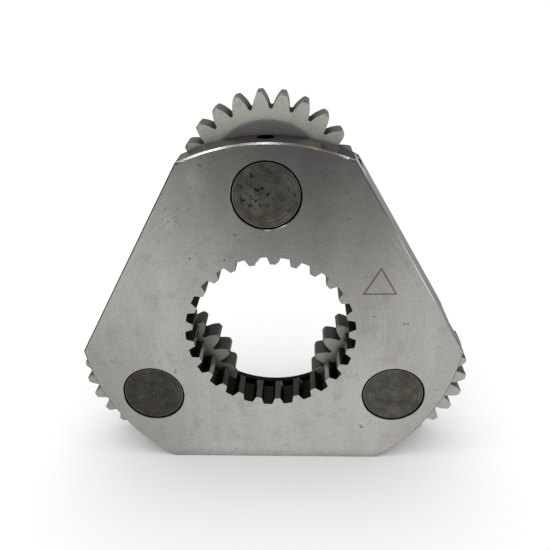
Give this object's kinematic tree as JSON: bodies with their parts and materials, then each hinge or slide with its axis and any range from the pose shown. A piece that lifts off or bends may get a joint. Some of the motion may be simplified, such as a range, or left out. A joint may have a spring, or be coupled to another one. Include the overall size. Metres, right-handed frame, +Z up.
{
  "type": "planetary gear set",
  "caption": "Planet carrier with a splined front plate, planet gears on needle bearings and pins, thrust washers and spring pins.",
  "frame": {"origin": "centre of the bottom of the bounding box, on the milled flat that the carrier stands on", "axes": "+X across the carrier, +Y along the gear axis from the splined front plate to the rear plate, +Z up"},
  "size_m": [0.1977, 0.038, 0.1821],
  "materials": {
    "carrier_steel": "fine turned and ground steel, lightly oiled",
    "gear_steel": "matt grey hardened gear steel with darker tooth flanks",
    "pin_steel": "dark oiled steel with turning marks on the ends",
    "bearing_steel": "bright ground bearing steel",
    "cage_steel": "pressed and phosphated steel",
    "washer_steel": "dark ground steel",
    "spring_steel": "blackened spring steel"
  },
  "bodies": {
    "carrier_body": {"carrier": "carrier_steel", "planet_pin_1": "pin_steel", "planet_pin_2": "pin_steel", "planet_pin_3": "pin_steel", "front_washer_1": "washer_steel", "front_washer_2": "washer_steel", "front_washer_3": "washer_steel", "rear_washer_1": "washer_steel", "rear_washer_2": "washer_steel", "rear_washer_3": "washer_steel", "spring_pin_1": "spring_steel", "spring_pin_2": "spring_steel", "spring_pin_3": "spring_steel"},
    "planet_1": {"planet_gear_1": "gear_steel"},
    "bearing_1": {"needle_cage_1": "cage_steel", "needle_rollers_1": "bearing_steel"},
    "planet_2": {"planet_gear_2": "gear_steel"},
    "bearing_2": {"needle_cage_2": "cage_steel", "needle_rollers_2": "bearing_steel"},
    "planet_3": {"planet_gear_3": "gear_steel"},
    "bearing_3": {"needle_cage_3": "cage_steel", "needle_rollers_3": "bearing_steel"}
  },
  "joints": [
    {"name": "planet_1_spin", "type": "hinge", "parent": "carrier_body", "child": "planet_1", "pos_m": [0, 0.0041, 0.1425], "axis": [0, 1, 0], "continuous": true},
    {"name": "bearing_1_roll", "type": "hinge", "parent": "carrier_body", "child": "bearing_1", "pos_m": [0, 0.0041, 0.1425], "axis": [0, 1, 0], "continuous": true},
    {"name": "planet_2_spin", "type": "hinge", "parent": "carrier_body", "child": "planet_2", "pos_m": [-0.05932, 0.0041, 0.03975], "axis": [0, 1, 0], "continuous": true},
    {"name": "bearing_2_roll", "type": "hinge", "parent": "carrier_body", "child": "bearing_2", "pos_m": [-0.05932, 0.0041, 0.03975], "axis": [0, 1, 0], "continuous": true},
    {"name": "planet_3_spin", "type": "hinge", "parent": "carrier_body", "child": "planet_3", "pos_m": [0.05932, 0.0041, 0.03975], "axis": [0, 1, 0], "continuous": true},
    {"name": "bearing_3_roll", "type": "hinge", "parent": "carrier_body", "child": "bearing_3", "pos_m": [0.05932, 0.0041, 0.03975], "axis": [0, 1, 0], "continuous": true}
  ],
  "couplings": [
    {"joint": "bearing_1_roll", "follows": "planet_1_spin", "ratio": 0.5547},
    {"joint": "bearing_2_roll", "follows": "planet_2_spin", "ratio": 0.5547},
    {"joint": "bearing_3_roll", "follows": "planet_3_spin", "ratio": 0.5547}
  ]
}
